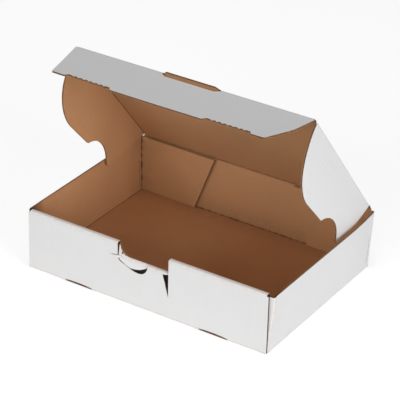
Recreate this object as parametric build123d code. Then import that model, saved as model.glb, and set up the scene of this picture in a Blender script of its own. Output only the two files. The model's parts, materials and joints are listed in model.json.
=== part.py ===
from build123d import *
import os

# Corrugated mailer box, folded from one die-cut blank of thin fluted board, lid part open.
# Millimetres. Origin at the bottom centre of the tray, +X to the right, front towards -Y, +Z up.
# The tray, lid, tuck flap and two ears are separate solids only where the blank folds in use.

# Driving sizes
LENGTH = 218.0              # tray outside, left to right
DEPTH = 157.0               # tray outside, front to back
HEIGHT = 51.5               # top of the front and side walls
BOARD = 1.4                 # board thickness
LAYER_GAP = 0.15            # air between two layers of board folded onto each other
FOLD_GAP = 0.3              # air between two solids that meet at a working crease
FOLD_RADIUS = 1.1           # outside radius of a fixed crease

# Lid
LID_ANGLE = 50.3            # opened from shut, at rest
LID_RISE = 0.8              # underside of the shut lid above the wall tops
LID_FRONT_GAP = 0.9         # shut tuck flap, behind the front wall
TONGUE_HALF = 25.3          # stop tongue on the front crease, half its length
TONGUE_END = 3.6            # slanted end of the tongue
TONGUE_REACH = 4.2          # tongue past the crease

# Tuck flap
FLAP_ANGLE = 48.5           # folded down from the lid plane, at rest
FLAP_FLOOR_GAP = 1.6        # shut flap's free edge, above the bottom
FLAP_TAPER = 13.6           # free corner, in from the lid side edge
FLAP_SHOULDER = 9.0         # length of the straight start of the flap's side
RECESS_SETBACK = 12.0       # shallow recess in the free edge, in from the free corner
RECESS_LENGTH = 36.0
RECESS_DEPTH = 3.4
RECESS_SLOPE = 3.0

# Ears: distances along the lid from its hinge, and up from the ear's lowest line
EAR_WALL_GAP = 1.0          # shut ear, inside the side wall
EAR_FLOOR_GAP = 3.8         # shut ear's lowest line, above the bottom
EAR_TAB_GAP = 0.75          # ear's rear corner, in front of the back corner tab
EAR_TOE = (27.5, 2.6)
EAR_TOE_END = (32.3, 2.2)
EAR_SCOOP_MIDDLE = (54.5, 11.0)
EAR_TIP = (71.7, 1.9)
EAR_BELLY_SETBACK = 42.2    # end of the lowest line, back from the ear's front
EAR_NOSE = (13.2, 10.3)     # middle of the nose curve, back from the front and up
EAR_FRONT_SETBACK = 4.0     # front of the ear's crease, back from the lid's front crease

# Front wall: notch, thumb cut, tapered slit and nick, measured from the middle and the wall top
FRONT_TAB_REACH = 62.0      # side wall's front corner tab, inside the front wall
NOTCH_LEFT = 24.5
NOTCH_RIGHT = 21.8
NOTCH_DEPTH = 11.8
NOTCH_SWEEP = 9.0           # radius at the inner panel's left corner of the notch
THUMB_LEFT = 21.8
THUMB_RIGHT = -2.7
THUMB_DEPTH = 9.6
CURL_DROP = 5.2             # roll that curls down behind the thumb cut
CURL_CLEARANCE = 0.4        # end of the curl, in from the thumb cut's ends
SLIT_WIDTH = 5.4
SLIT_LENGTH = 21.0
SLIT_TIP = 0.8              # width at the slit's lower end
NICK_LENGTH = 6.0
NICK_WIDTH = 0.8

# Locking tabs of the inner front panel, in slots along the bottom front crease
LOCK_MIDDLE = 62.0          # from the middle of the box
LOCK_LENGTH = 33.0
LOCK_SLOT_HEIGHT = 2.4
LOCK_CLEARANCE = 0.3

# Side and back walls
BACK_TAB_REACH_TOP = 74.0   # side wall's back corner tab, along the back wall
BACK_TAB_REACH_BOTTOM = 55.0
BACK_TAB_DROP = 1.4         # tab top below the lid hinge
TAB_LIFT = 0.4              # tab edge above the bottom
SIDE_SLIT_SETBACK = 7.0     # from the back corner
SIDE_SLIT_BOTTOM = 5.5
SIDE_SLIT_TOP = 30.5
SIDE_SLIT_WIDTH = 0.8
SIDE_SLIT_BOW = 1.0

OVERCUT = 1.0               # a cut runs this far past the face it opens

# Derived places
FRONT_Y = -DEPTH / 2
BACK_Y = DEPTH / 2
SIDE_X = LENGTH / 2
FRONT_THICKNESS = 3 * BOARD + 2 * LAYER_GAP
INNER_FRONT_Y = FRONT_Y + FRONT_THICKNESS
HINGE_Y = BACK_Y - BOARD / 2
HINGE_Z = HEIGHT + LID_RISE + BOARD / 2
LID_REACH = HINGE_Y - (INNER_FRONT_Y + LID_FRONT_GAP + BOARD / 2)
LID_HALF = SIDE_X - BOARD - EAR_WALL_GAP
FLAP_REACH = HINGE_Z - BOARD - FLAP_FLOOR_GAP
EAR_REAR = HINGE_Y - (BACK_Y - 2 * BOARD - LAYER_GAP) + EAR_TAB_GAP
EAR_DEPTH = HINGE_Z - BOARD - EAR_FLOOR_GAP
CREASE = BOARD / 2 + FOLD_GAP   # a panel starts this far from a working crease's axis


def block(x0, x1, y0, y1, z0, z1):
    """Box between two corners."""
    size = Box(x1 - x0, y1 - y0, z1 - z0)
    return Pos((x0 + x1) / 2, (y0 + y1) / 2, (z0 + z1) / 2) * size


def outline_face(path):
    """Face inside a closed run of edges."""
    return make_face(Wire(path))


def cut_through_y(face, y0, y1):
    """Prism along Y from a face drawn as (x, z)."""
    plane = Plane(origin=(0, y1, 0), x_dir=(1, 0, 0), z_dir=(0, -1, 0))
    return extrude(plane * face, y1 - y0)


def front_section(top):
    """Rolled-over front wall seen from the side: outer panel, roll and inner panel."""
    drawing = Plane(origin=(-SIDE_X, 0, 0), x_dir=(0, 1, 0), z_dir=(1, 0, 0))
    middle = FRONT_Y + FRONT_THICKNESS / 2
    outside = Pos(middle, top / 2) * Rectangle(FRONT_THICKNESS, top)
    outside = fillet(outside.vertices().sort_by(Axis.Y)[-2:], FOLD_RADIUS)
    cavity = Pos(middle, (top - BOARD) / 2) * Rectangle(FRONT_THICKNESS - 2 * BOARD, top - BOARD)
    return drawing * (outside - cavity)


def front_wall():
    """Front wall with its notch, thumb cut, tapered slit, nick and locking tabs."""
    tall = extrude(front_section(HEIGHT), LENGTH)
    low = extrude(front_section(HEIGHT - NOTCH_DEPTH), LENGTH)
    across_wall = (FRONT_Y - OVERCUT, INNER_FRONT_Y + OVERCUT)
    inside_notch = block(-NOTCH_LEFT, NOTCH_RIGHT, *across_wall, -OVERCUT, HEIGHT + OVERCUT)
    wall = (tall - inside_notch) + (low & inside_notch)
    wall += notch_sweep()
    wall -= block(-SIDE_X, SIDE_X, INNER_FRONT_Y - BOARD, INNER_FRONT_Y, 0, BOARD + LAYER_GAP)
    for side in (-1, 1):
        wall -= lock_slot(side)
        wall += lock_tab(side)
    outer = (FRONT_Y - OVERCUT, FRONT_Y + BOARD + LAYER_GAP)
    wall -= cut_through_y(thumb_outline(), *outer)
    wall += thumb_curl()
    wall -= cut_through_y(slit_outline(), *outer)
    nick_z = HEIGHT - NOTCH_DEPTH
    wall -= block(-NOTCH_LEFT - NICK_LENGTH, -NOTCH_LEFT + NICK_WIDTH, *outer, nick_z, nick_z + NICK_WIDTH)
    return wall


def notch_sweep():
    """Curved filling of the inner panel at the notch's lower left corner."""
    corner = Pos(-NOTCH_LEFT, HEIGHT - NOTCH_DEPTH)
    half = NOTCH_SWEEP / 2
    square = corner * Pos(half, half) * Rectangle(NOTCH_SWEEP, NOTCH_SWEEP)
    round_cut = corner * Pos(NOTCH_SWEEP, NOTCH_SWEEP) * Circle(NOTCH_SWEEP)
    root = corner * Pos(half, -FOLD_RADIUS) * Rectangle(NOTCH_SWEEP, 2 * FOLD_RADIUS)
    return cut_through_y((square - round_cut) + root, INNER_FRONT_Y - BOARD, INNER_FRONT_Y)


def thumb_outline():
    """Half-moon cut in the outer panel, open to the notch above it."""
    top = HEIGHT - NOTCH_DEPTH
    left = (-THUMB_LEFT, top)
    right = (-THUMB_RIGHT, top)
    low = ((left[0] + right[0]) / 2, top - THUMB_DEPTH)
    above_right = (right[0], top + OVERCUT)
    above_left = (left[0], top + OVERCUT)
    rim = [Line(right, above_right), Line(above_right, above_left), Line(above_left, left)]
    return outline_face([ThreePointArc(left, low, right)] + rim)


def thumb_curl():
    """Roll of the notch that curls down inside the wall behind the thumb cut."""
    top = HEIGHT - NOTCH_DEPTH
    y0 = FRONT_Y + BOARD + LAYER_GAP
    x0 = -THUMB_LEFT + CURL_CLEARANCE
    x1 = -THUMB_RIGHT - CURL_CLEARANCE
    return block(x0, x1, y0, y0 + BOARD, top - CURL_DROP, top - BOARD / 2)


def slit_outline():
    """Tapered slit that runs down from the notch's right corner."""
    top = HEIGHT - NOTCH_DEPTH + OVERCUT
    tip = HEIGHT - NOTCH_DEPTH - SLIT_LENGTH
    right = NOTCH_RIGHT
    points = [(right - SLIT_WIDTH, top), (right, top), (right, tip), (right - SLIT_TIP, tip)]
    return make_face(Polyline(points, close=True))


def lens(middle, half_length, height, z0):
    """Flat-bottomed crescent drawn as (x, z)."""
    left = (middle - half_length, z0)
    right = (middle + half_length, z0)
    return outline_face([ThreePointArc(left, (middle, z0 + height), right), Line(right, left)])


def lock_slot(side):
    """Crescent slot through the front crease for one locking tab."""
    shape = lens(side * LOCK_MIDDLE, LOCK_LENGTH / 2, LOCK_SLOT_HEIGHT + OVERCUT, -OVERCUT)
    return cut_through_y(shape, FRONT_Y - OVERCUT, INNER_FRONT_Y - BOARD)


def lock_tab(side):
    """Locking tab at the foot of the inner front panel."""
    half = LOCK_LENGTH / 2 - LOCK_CLEARANCE
    middle = side * LOCK_MIDDLE
    y0 = INNER_FRONT_Y - BOARD
    root = BOARD + LAYER_GAP + OVERCUT
    return block(middle - half, middle + half, y0, INNER_FRONT_Y, LOCK_CLEARANCE, root)


def lock_well(side):
    """Hole in the bottom that one locking tab drops into."""
    half = LOCK_LENGTH / 2
    middle = side * LOCK_MIDDLE
    y0 = INNER_FRONT_Y - BOARD - LOCK_CLEARANCE
    y1 = INNER_FRONT_Y + LOCK_CLEARANCE
    return block(middle - half, middle + half, y0, y1, -OVERCUT, BOARD + OVERCUT)


def side_slit(side):
    """Bowed slit through a side wall near its back corner."""
    y = BACK_Y - SIDE_SLIT_SETBACK
    half = SIDE_SLIT_WIDTH / 2
    middle_z = (SIDE_SLIT_BOTTOM + SIDE_SLIT_TOP) / 2
    low_near, low_far = (y - half, SIDE_SLIT_BOTTOM), (y + half, SIDE_SLIT_BOTTOM)
    high_near, high_far = (y - half, SIDE_SLIT_TOP), (y + half, SIDE_SLIT_TOP)
    path = [
        ThreePointArc(low_near, (y - half + SIDE_SLIT_BOW, middle_z), high_near),
        Line(high_near, high_far),
        ThreePointArc(high_far, (y + half + SIDE_SLIT_BOW, middle_z), low_far),
        Line(low_far, low_near),
    ]
    inside = side * SIDE_X - BOARD - OVERCUT
    drawing = Plane(origin=(inside, 0, 0), x_dir=(0, 1, 0), z_dir=(1, 0, 0))
    return extrude(drawing * outline_face(path), 2 * (BOARD + OVERCUT))


def side_wall(side):
    """Side wall with its front and back corner tabs."""
    front = FRONT_Y + BOARD + LAYER_GAP
    back = BACK_Y - BOARD - LAYER_GAP
    x_in = side * (SIDE_X - BOARD)
    x_out = side * SIDE_X
    low_x, high_x = min(x_in, x_out), max(x_in, x_out)
    wall = block(low_x, high_x, front, back, 0, HEIGHT)
    wall -= side_slit(side)
    front_end = side * (SIDE_X - FRONT_TAB_REACH)
    tab_top = HEIGHT - BOARD - LAYER_GAP
    low_x, high_x = min(front_end, x_out), max(front_end, x_out)
    wall += block(low_x, high_x, front, front + BOARD, BOARD + TAB_LIFT, tab_top)
    wall += back_tab(side, back)
    return wall


def back_tab(side, back):
    """Back corner tab with a slanted end, flat against the back wall."""
    top = HINGE_Z - BACK_TAB_DROP
    foot = BOARD + TAB_LIFT
    outer = side * SIDE_X
    points = [
        (outer, foot),
        (side * (SIDE_X - BACK_TAB_REACH_BOTTOM), foot),
        (side * (SIDE_X - BACK_TAB_REACH_TOP), top),
        (outer, top),
    ]
    return cut_through_y(make_face(Polyline(points, close=True)), back - BOARD, back)


def tray():
    """Bottom, walls, corner tabs and rolled-over front, one folded sheet."""
    body = block(-SIDE_X, SIDE_X, FRONT_Y, BACK_Y, 0, BOARD)
    for side in (-1, 1):
        body -= lock_well(side)
        body -= lock_slot(side)
    body += front_wall()
    body += block(-SIDE_X, SIDE_X, BACK_Y - BOARD, BACK_Y, 0, HINGE_Z - CREASE)
    for side in (-1, 1):
        body += side_wall(side)
    envelope = block(-SIDE_X, SIDE_X, FRONT_Y, BACK_Y, 0, HINGE_Z)
    envelope = fillet(envelope.edges().group_by(Axis.Z)[0], FOLD_RADIUS)
    return body & envelope


def on_lid(shape, angle=LID_ANGLE):
    """Place a shape drawn flat on the shut lid at the lid's own angle.

    Flat drawings have the hinge along X at the origin and the lid towards -Y.
    """
    return Pos(0, HINGE_Y, HINGE_Z) * Rot(-angle, 0, 0) * shape


def bead(length):
    """Rounded edge of the board along a working crease, on the X axis."""
    return Rot(0, 90, 0) * Cylinder(BOARD / 2, length)


def tongue_outline(growth=0.0):
    """Stop tongue on the lid's front crease, seen from above."""
    root = -LID_REACH + CREASE + OVERCUT
    end = -LID_REACH - TONGUE_REACH - growth
    half = TONGUE_HALF + growth
    points = [(-half, root), (half, root), (half, -LID_REACH), (half - TONGUE_END, end),
              (TONGUE_END - half, end), (-half, -LID_REACH)]
    return make_face(Polyline(points, close=True))


def board_of(face):
    """Sheet of board from a face drawn as (x, y), its middle plane at z = 0."""
    return extrude(face, BOARD / 2, both=True)


def lid():
    """Lid panel with its hinge edge and stop tongue."""
    panel = block(-LID_HALF, LID_HALF, -LID_REACH + CREASE, 0, -BOARD / 2, BOARD / 2)
    panel += bead(2 * LID_HALF)
    panel += board_of(tongue_outline())
    return on_lid(panel)


def flap_outline():
    """Tuck flap seen flat, its crease along X at the origin and its free edge towards -Y."""
    corner = LID_HALF - FLAP_TAPER
    edge = -FLAP_REACH
    dip = edge + RECESS_DEPTH
    outer = corner - RECESS_SETBACK
    inner = outer - RECESS_LENGTH
    root = LID_HALF - BOARD
    half = [
        (0, edge), (inner, edge), (inner + RECESS_SLOPE, dip), (outer - RECESS_SLOPE, dip),
        (outer, edge), (corner, edge), (root, -FLAP_SHOULDER), (root, 0),
    ]
    mirrored = [(-x, y) for x, y in reversed(half[1:])]
    return make_face(Polyline(half + mirrored, close=True))


def tuck_flap():
    """Tuck flap along the lid's front crease, cut out round the stop tongue."""
    flap = board_of(flap_outline())
    flap += bead(2 * (LID_HALF - BOARD))
    cut = Pos(0, LID_REACH, 0) * tongue_outline(FOLD_GAP)
    flap -= extrude(cut, 2 * BOARD, both=True)
    flap -= tongue_relief()
    placed = Pos(0, -LID_REACH, 0) * Rot(FLAP_ANGLE, 0, 0) * flap
    return on_lid(placed)


def tongue_relief():
    """Room for the tongue at every fold of the tuck flap."""
    half = TONGUE_HALF + FOLD_GAP
    reach = TONGUE_REACH + FOLD_GAP
    return block(-half, half, -reach, BOARD, -2 * BOARD, 2 * BOARD)


def ear_outline():
    """Ear drawn flat as (distance along the lid, distance down from the lid)."""
    front = LID_REACH - EAR_FRONT_SETBACK
    top = BOARD / 2 + FOLD_GAP
    toe, toe_end, scoop, tip = [
        (along, EAR_DEPTH - up) for along, up in (EAR_TOE, EAR_TOE_END, EAR_SCOOP_MIDDLE, EAR_TIP)
    ]
    belly = (front - EAR_BELLY_SETBACK, EAR_DEPTH)
    nose = (front - EAR_NOSE[0], EAR_DEPTH - EAR_NOSE[1])
    path = [
        Line((EAR_REAR, top), toe),
        Line(toe, toe_end),
        ThreePointArc(toe_end, scoop, tip),
        Line(tip, belly),
        ThreePointArc(belly, nose, (front, top)),
        Line((front, top), (EAR_REAR, top)),
    ]
    return outline_face(path)


def ear(side):
    """Ear that hangs under one side edge of the lid, its outer face flush with that edge."""
    middle = side * (LID_HALF - BOARD / 2)
    drawing = Plane(origin=(middle, 0, 0), x_dir=(0, -1, 0), z_dir=(1, 0, 0))
    return on_lid(extrude(drawing * ear_outline(), BOARD / 2, both=True))


def main():
    """Write one file for each node."""
    nodes = {
        "tray": tray(),
        "lid": lid(),
        "tuck_flap": tuck_flap(),
        "left_ear": ear(-1),
        "right_ear": ear(1),
    }
    os.makedirs("parts", exist_ok=True)
    for name, shape in nodes.items():
        export_step(shape, os.path.join("parts", name + ".step"))


main()
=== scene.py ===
"""Corrugated mailer box: folded fluted board with a white outer liner and a brown kraft inner liner.

Sheet drawings are in millimetres in the row frame. A sheet is drawn flat as (across, along), where
along is the flute direction, and is then bent along a path of straight runs and arcs.
"""

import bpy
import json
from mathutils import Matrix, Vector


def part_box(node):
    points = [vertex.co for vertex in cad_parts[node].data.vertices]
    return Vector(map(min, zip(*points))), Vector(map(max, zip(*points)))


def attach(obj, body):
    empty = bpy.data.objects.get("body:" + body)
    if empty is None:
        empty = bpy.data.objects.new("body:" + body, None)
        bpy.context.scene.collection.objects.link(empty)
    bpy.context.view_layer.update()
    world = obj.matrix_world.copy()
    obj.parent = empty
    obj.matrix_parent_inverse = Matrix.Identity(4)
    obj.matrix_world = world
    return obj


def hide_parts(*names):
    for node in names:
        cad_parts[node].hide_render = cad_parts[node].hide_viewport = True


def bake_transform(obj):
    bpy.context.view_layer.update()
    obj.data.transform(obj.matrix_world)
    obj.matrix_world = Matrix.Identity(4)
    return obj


bl_info = {
    "name": "Corrugated mailer box",
    "version": (1, 0, 0),
    "blender": (4, 5, 0),
    "location": "3D View > Sidebar > Mailer box",
    "description": "Builds the folded board, creases, finishes and stage of a corrugated mailer box",
    "category": "Object",
}

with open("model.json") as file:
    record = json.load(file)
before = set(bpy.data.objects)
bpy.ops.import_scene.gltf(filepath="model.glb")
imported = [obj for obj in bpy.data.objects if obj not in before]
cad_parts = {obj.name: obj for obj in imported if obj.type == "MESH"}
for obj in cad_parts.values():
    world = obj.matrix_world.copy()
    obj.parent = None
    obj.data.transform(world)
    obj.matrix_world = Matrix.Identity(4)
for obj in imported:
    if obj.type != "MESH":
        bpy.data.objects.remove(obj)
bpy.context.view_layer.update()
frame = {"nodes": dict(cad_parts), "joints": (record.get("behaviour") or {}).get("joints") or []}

import json
import math

import bmesh
import bpy
from bpy.props import FloatProperty, FloatVectorProperty, PointerProperty
from mathutils import Matrix, Vector
from mathutils.geometry import delaunay_2d_cdt

MM = 0.001
BOARD = 1.4             # board thickness
TRAY_LOW, TRAY_HIGH = (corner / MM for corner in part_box("tray"))
JOINTS = {joint["name"]: joint for joint in frame["joints"]}
HINGE = Vector(JOINTS["lid_hinge"]["pos_m"]) / MM
FRONT_CREASE = Vector(JOINTS["tuck_flap_fold"]["pos_m"]) / MM
LID_ALONG = (FRONT_CREASE - HINGE).normalized()     # from the hinge towards the lid's front crease
LID_DOWN = Vector((0, -LID_ALONG.z, LID_ALONG.y))   # out of the lid's underside
LID_REACH = (FRONT_CREASE - HINGE).length
LID_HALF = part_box("lid")[1].x / MM
WAVE_STEPS = 8          # points in one flute
MEDIUM_HALF = 0.07      # half the thickness of the fluted paper


# ---------------------------------------------------------------- settings

class MailerBoard(bpy.types.PropertyGroup):
    """Thickness and finish of the board"""
    thickness: FloatProperty(name="Board", description="Board thickness in millimetres", default=BOARD)
    liner: FloatProperty(name="Liner", description="Liner thickness in millimetres", default=0.2)
    pitch: FloatProperty(name="Flute pitch", description="Width of one flute, millimetres", default=3.3)
    white: FloatVectorProperty(
        name="White liner", description="Colour of the outer liner", subtype="COLOR",
        default=(0.80, 0.80, 0.80), min=0, max=1)
    kraft: FloatVectorProperty(
        name="Kraft liner", description="Colour of the inner liner", subtype="COLOR",
        default=(0.55, 0.30, 0.147), min=0, max=1)
    medium: FloatVectorProperty(
        name="Fluting", description="Colour of the fluted paper and cut edges", subtype="COLOR",
        default=(0.36, 0.205, 0.11), min=0, max=1)
    crease_tint: FloatVectorProperty(
        name="Crease", description="Tint of the white liner where it cracks at a crease", subtype="COLOR",
        default=(0.68, 0.56, 0.50), min=0, max=1)


class MailerShape(bpy.types.PropertyGroup):
    """How the folded box leans and bows"""
    left_lean: FloatProperty(
        name="Left lean", description="Outward lean of the left wall's top, millimetres", default=1.2)
    right_lean: FloatProperty(
        name="Right lean", description="Outward lean of the right wall's top, millimetres", default=5.0)
    tab_lean: FloatProperty(
        name="Tab lean", description="Angle of a back corner tab off the back wall, degrees", default=1.2)
    rear_pull: FloatProperty(
        name="Rear pull", description="Forward shift of the right wall's rear top corner, millimetres",
        default=0.8)
    left_ear_bow: FloatProperty(
        name="Left ear bow", description="Outward bow of the left ear, millimetres", default=0.9)
    right_ear_bow: FloatProperty(
        name="Right ear bow", description="Outward bow of the right ear, millimetres", default=1.5)
    lid_bow: FloatProperty(name="Lid bow", description="Height of the lid's bow, millimetres", default=0.7)


class MailerStage(bpy.types.PropertyGroup):
    """Camera and lamps"""
    azimuth: FloatProperty(name="Azimuth", description="Camera angle round the box, degrees", default=32.22)
    elevation: FloatProperty(name="Elevation", description="Camera angle above the floor, degrees",
                             default=29.16)
    roll: FloatProperty(name="Roll", description="Camera roll, degrees", default=1.6)
    distance: FloatProperty(name="Distance", description="Camera distance", default=1.6226, unit="LENGTH")
    lens: FloatProperty(name="Lens", description="Focal length in millimetres", default=184.7)
    aim_height: FloatProperty(name="Aim height", description="Aim above the base", default=0.0525,
                              unit="LENGTH")
    ambient: FloatProperty(name="Ambient", description="Strength of the even light", default=0.195)
    floor: FloatVectorProperty(
        name="Floor", description="Floor colour", subtype="COLOR", default=(0.85, 0.85, 0.85), min=0, max=1)


# ---------------------------------------------------------------- bent sheets

class Path:
    """Middle line of a bent sheet: straight runs and arcs in a plane.

    side is 1 where the white face lies to the left of the heading and -1 where it lies to the right.
    """

    def __init__(self, start, heading, side, steps):
        self.side = side
        self.spans = []
        self.marks = [0.0]
        point, angle, along = Vector(start), math.radians(heading), 0.0
        for step in steps:
            turn, radius = (math.radians(step[1]), step[2]) if step[0] == "turn" else (0.0, 0.0)
            length = abs(turn) * radius if turn else step[1]
            self.spans.append((along, length, point.copy(), angle, turn, radius))
            if turn:
                point = self.arc_point(point, angle, turn, radius, 1.0)
                angle += turn
            else:
                point = point + Vector((math.cos(angle), math.sin(angle))) * length
            along += length
            self.marks.append(along)

    @staticmethod
    def arc_point(point, angle, turn, radius, share):
        way = math.copysign(1.0, turn)
        centre = point + Vector((-math.sin(angle), math.cos(angle))) * radius * way
        now = angle + turn * share
        return centre + Vector((math.sin(now), -math.cos(now))) * radius * way

    def at(self, along):
        """Point and white-side normal at a distance along the path."""
        for start, length, point, angle, turn, radius in self.spans:
            last = start == self.spans[-1][0]
            if along <= start + length + 1e-6 or last:
                break
        if turn:
            share = (along - start) / length
            point = self.arc_point(point, angle, turn, radius, share)
            angle += turn * share
        else:
            point = point + Vector((math.cos(angle), math.sin(angle))) * (along - start)
        normal = Vector((-math.sin(angle), math.cos(angle))) * self.side
        return point, normal

    def cuts(self, spacing=18.0, arc_steps=5, margin=1.2):
        """Places where the sheet needs an edge across it."""
        places = set()
        for start, length, _, _, turn, _ in self.spans:
            steps = arc_steps if turn else max(1, math.ceil(length / spacing))
            places.update(start + length * i / steps for i in range(steps + 1))
            if turn:
                places.update((start - margin, start + length + margin))
        return sorted(place for place in places if 0 < place < self.marks[-1])

    def fold_at(self, along, reach=0.9):
        """1 on an arc, falling to 0 a little way off it."""
        off = [max(s - along, along - s - n, 0.0) for s, n, _, _, turn, _ in self.spans if turn]
        return math.exp(-(min(off) / reach) ** 2) if off else 0.0


class Builder:
    """Collects the vertices and faces of one piece."""

    def __init__(self):
        self.points, self.flat, self.folds, self.depths, self.faces, self.kinds = [], [], [], [], [], []
        # Fold marks: a cracked white liner, and painted shade along the folds of the kraft
        self.wear_and_shade = 1.0     # how marked the folds of the next sheet are

    def add_point(self, point, flat, fold, depth=0.0):
        self.points.append(Vector(point) * MM)
        self.flat.append((flat[0] * MM, flat[1] * MM))
        self.folds.append(fold)
        self.depths.append(depth)
        return len(self.points) - 1

    def add_face(self, corners, kind):
        self.faces.append(corners)
        self.kinds.append(kind)

    def finish(self, name, materials):
        """Make the mesh object, with its flat drawing as a map, and its folds and painted shade (depth) as
        attributes.
        """
        mesh = bpy.data.meshes.new(name)
        mesh.from_pydata(self.points, [], self.faces)
        for material in materials:
            mesh.materials.append(material)
        mesh.polygons.foreach_set("material_index", self.kinds)
        layer = mesh.uv_layers.new(name="blank")
        for loop in mesh.loops:
            layer.data[loop.index].uv = self.flat[loop.vertex_index]
        # depth is painted shade: how dark the kraft is painted inside a closed wall
        for label, values in (("fold", self.folds), ("depth", self.depths)):
            attribute = mesh.attributes.new(label, "FLOAT", "POINT")
            attribute.data.foreach_set("value", values)
        work = bmesh.new()
        work.from_mesh(mesh)
        bmesh.ops.recalc_face_normals(work, faces=work.faces)
        work.to_mesh(mesh)
        work.free()
        mesh.polygons.foreach_set("use_smooth", [True] * len(mesh.polygons))
        mesh.set_sharp_from_angle(angle=math.radians(32))
        piece = bpy.data.objects.new(name, mesh)
        bpy.context.scene.collection.objects.link(piece)
        return piece


def crossings(loops, across):
    """Where a line at one place across the sheet enters and leaves its outline."""
    places = []
    for loop in loops:
        for (a0, s0), (a1, s1) in zip(loop, loop[1:] + loop[:1]):
            if (a0 <= across) != (a1 <= across):
                places.append(s0 + (s1 - s0) * (across - a0) / (a1 - a0))
    places.sort()
    return list(zip(places[::2], places[1::2]))


def bisect(sheet, axis, place):
    """Cut a flat sheet square to one of its axes."""
    parts = sheet.verts[:] + sheet.edges[:] + sheet.faces[:]
    bmesh.ops.bisect_plane(sheet, geom=parts, plane_co=axis * place, plane_no=axis, dist=1e-5)


def across_range(loops):
    """Lowest and highest place of the outline across the sheet."""
    places = [corner[0] for loop in loops for corner in loop]
    return min(places), max(places)


def flat_faces(loops, cuts, across_cuts):
    """Triangulated outline, cut along the bends."""
    corners, edges = [], []
    for loop in loops:
        base = len(corners)
        corners += [Vector(corner) for corner in loop]
        edges += [(base + i, base + (i + 1) % len(loop)) for i in range(len(loop))]
    verts, _, faces, *_ = delaunay_2d_cdt(corners, edges, [], 0, 1e-5)
    sheet = bmesh.new()
    made = [sheet.verts.new((v.x, v.y, 0)) for v in verts]
    for face in faces:
        middle = sum((verts[i] for i in face), Vector((0, 0))) / len(face)
        if any(low < middle.y < high for low, high in crossings(loops, middle.x)):
            sheet.faces.new([made[i] for i in face])
    bmesh.ops.dissolve_limit(
        sheet, angle_limit=0.01, verts=sheet.verts, edges=sheet.edges, delimit=set())
    for cut in cuts:
        bisect(sheet, Vector((0, 1, 0)), cut)
    for cut in across_cuts:
        bisect(sheet, Vector((1, 0, 0)), cut)
    bmesh.ops.delete(sheet, geom=[v for v in sheet.verts if not v.link_faces], context="VERTS")
    bmesh.ops.triangulate(sheet, faces=[f for f in sheet.faces if len(f.verts) > 4])
    return sheet


WHITE, KRAFT, MEDIUM = 0, 1, 2


def add_slab(build, sheet, place, path, top, bottom, top_kind, bottom_kind, painted_shade_at=None):
    """One liner: the sheet's outline between two heights off the middle plane."""
    sheet.verts.index_update()
    levels = []
    for height in (top, bottom):
        row = []
        for v in sheet.verts:
            # Painted shade of the kraft inside a closed wall, 0 to 1, stored as the depth attribute
            depth = painted_shade_at(v.co.x, v.co.y) if painted_shade_at else 0.0
            fold = path.fold_at(v.co.y) * build.wear_and_shade
            row.append(build.add_point(place(v.co.x, v.co.y, height), v.co.xy, fold, depth))
        levels.append(row)
    for face in sheet.faces:
        ring = [v.index for v in face.verts]
        build.add_face([levels[0][i] for i in ring], top_kind)
        build.add_face([levels[1][i] for i in reversed(ring)], bottom_kind)
    for edge in sheet.edges:
        if len(edge.link_faces) == 1:
            a, b = (v.index for v in edge.verts)
            build.add_face([levels[0][a], levels[0][b], levels[1][b], levels[1][a]], MEDIUM)


def add_flutes(build, loops, place, path, board, crest):
    """Fluted paper between the liners, as closed waves along the sheet."""
    low, high = across_range(loops)
    step = board.pitch / WAVE_STEPS
    count = int((high - low - 0.1) / step)
    cuts = path.cuts(arc_steps=4)
    previous = None
    for i in range(count + 1):
        across = low + 0.05 + i * step
        wave = crest * math.sin(2 * math.pi * across / board.pitch)
        column = []
        for enter, leave in crossings(loops, across):
            if leave - enter < 0.2:
                continue
            stops = [enter + 0.02] + [c for c in cuts if enter + 0.1 < c < leave - 0.1] + [leave - 0.02]
            rows = [
                [build.add_point(place(across, s, wave + h), (across, s), 0.0) for s in stops]
                for h in (MEDIUM_HALF, -MEDIUM_HALF)
            ]
            column.append((stops, rows))
        if previous and len(previous) == len(column):
            for (old_stops, old), (stops, rows) in zip(previous, column):
                join_waves(build, old_stops, old, stops, rows)
        previous = column


def join_waves(build, old_stops, old, stops, rows):
    """Faces between two neighbouring columns of the fluted paper."""
    if len(old_stops) != len(stops) or abs(old_stops[0] - stops[0]) > 6 or abs(old_stops[-1] - stops[-1]) > 6:
        return
    last = len(stops) - 1
    for k in range(last):
        build.add_face([old[0][k], rows[0][k], rows[0][k + 1], old[0][k + 1]], MEDIUM)
        build.add_face([old[1][k], old[1][k + 1], rows[1][k + 1], rows[1][k]], MEDIUM)
    for k in (0, last):
        build.add_face([old[0][k], old[1][k], rows[1][k], rows[0][k]], MEDIUM)


def add_board(build, loops, path, place, flutes=True, across_spacing=24.0, painted_shade_at=None):
    """Both liners and the fluting of one bent sheet.

    place(across, point, along) turns a point of the path's plane into 3-D. The last argument, called with
    (across, along), gives the painted shade of the kraft face inside a closed wall, from 0 (none) to 1 (near
    black).
    """
    board = bpy.context.scene.mailer_board
    half = board.thickness / 2
    crest = half - board.liner - MEDIUM_HALF

    def put(across, along, height):
        point, normal = path.at(along)
        return place(across, point + normal * height, along)

    low, high = across_range(loops)
    steps = max(1, math.ceil((high - low) / across_spacing))
    across_cuts = [low + (high - low) * i / steps for i in range(1, steps)]
    sheet = flat_faces(loops, path.cuts(), across_cuts)
    add_slab(build, sheet, put, path, half, half - board.liner, WHITE, KRAFT)
    # The kraft liner carries the painted shade of closed walls
    add_slab(build, sheet, put, path, board.liner - half, -half, KRAFT, KRAFT, painted_shade_at)
    sheet.free()
    if flutes:
        add_flutes(build, loops, put, path, board, crest)


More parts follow.
